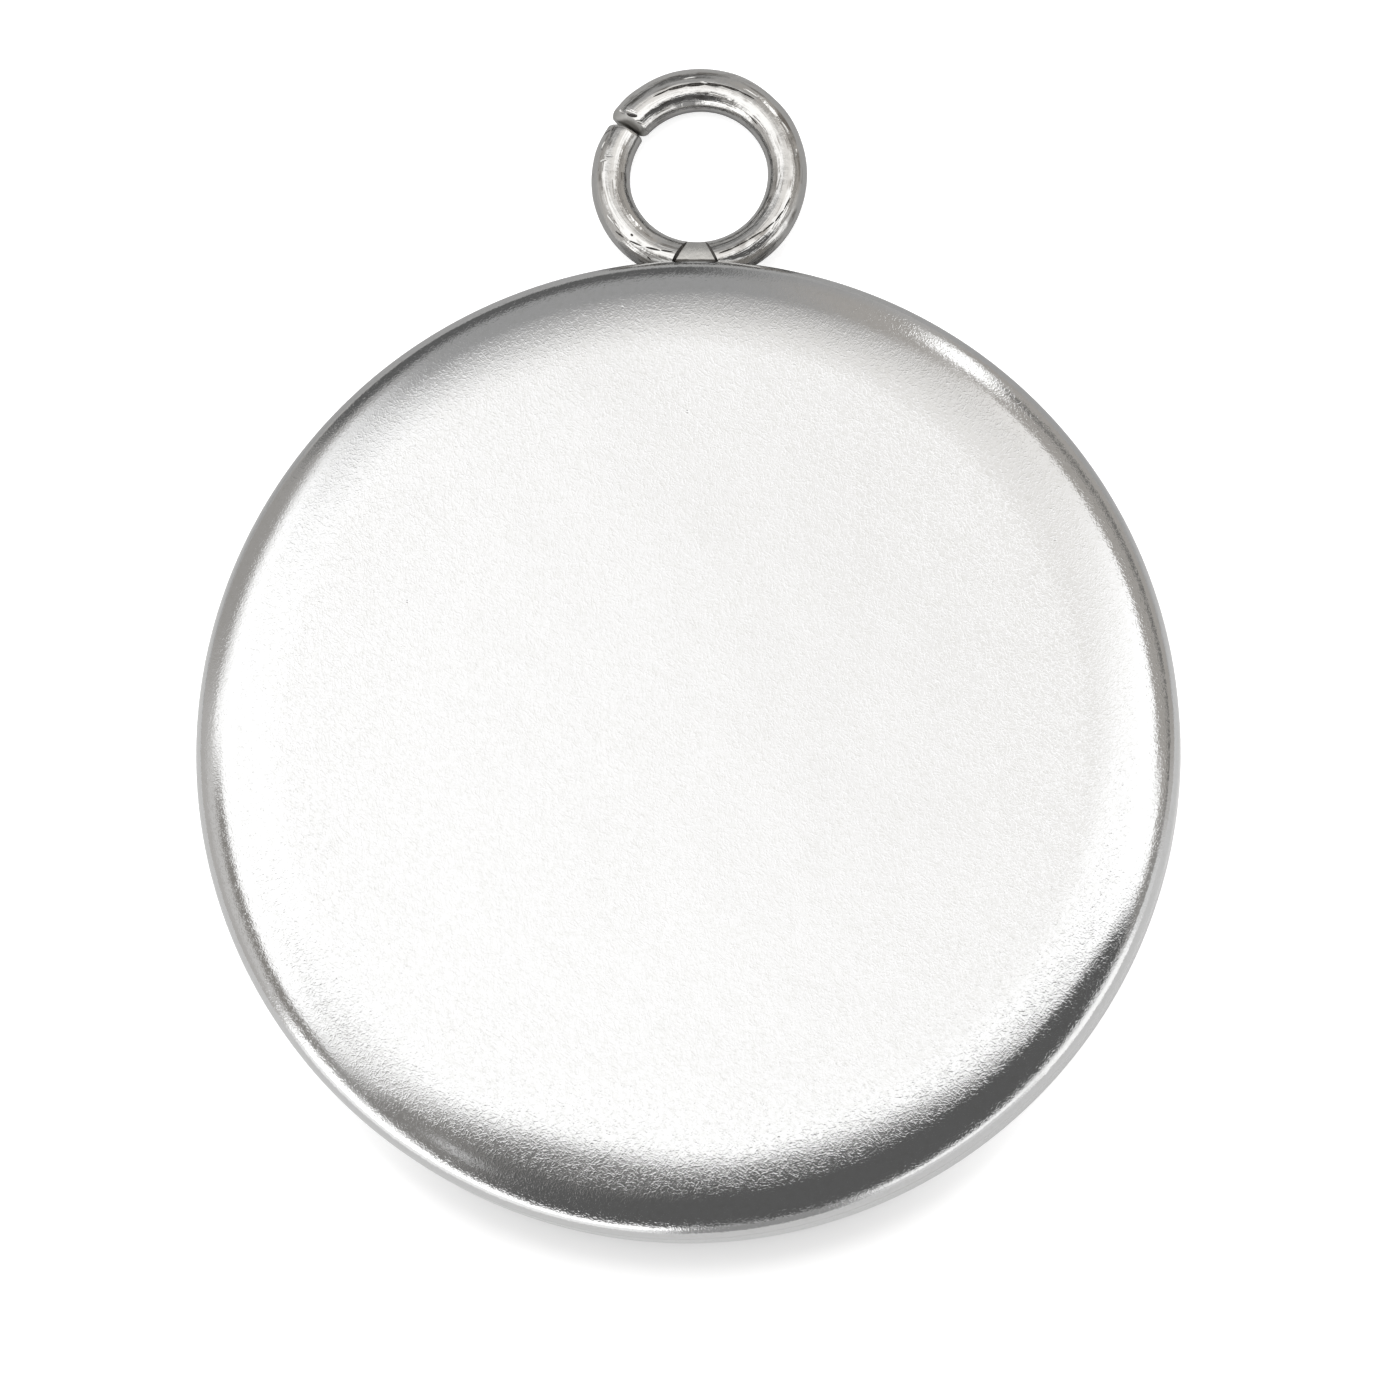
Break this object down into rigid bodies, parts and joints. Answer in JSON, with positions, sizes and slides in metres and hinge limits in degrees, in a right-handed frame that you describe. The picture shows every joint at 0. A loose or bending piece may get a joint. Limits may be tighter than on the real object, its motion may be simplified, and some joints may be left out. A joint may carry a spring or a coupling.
{
  "type": "bezel cup setting",
  "caption": "Shallow round metal bezel cup with a rounded closed back and an open wire loop welded to its wall, lying face down.",
  "frame": {"origin": "middle of the tray's mouth, in the plane that the rim rests on", "axes": "+Z out of the closed back, along the cup's axis; +Y from the cup's middle towards the loop"},
  "size_m": [0.0264, 0.032, 0.0025],
  "materials": {
    "stainless_steel": "tumbled satin on the back, burnished at the edge, polished wire"
  },
  "bodies": {
    "root": {"bezel_cup": "stainless_steel"}
  },
  "joints": []
}
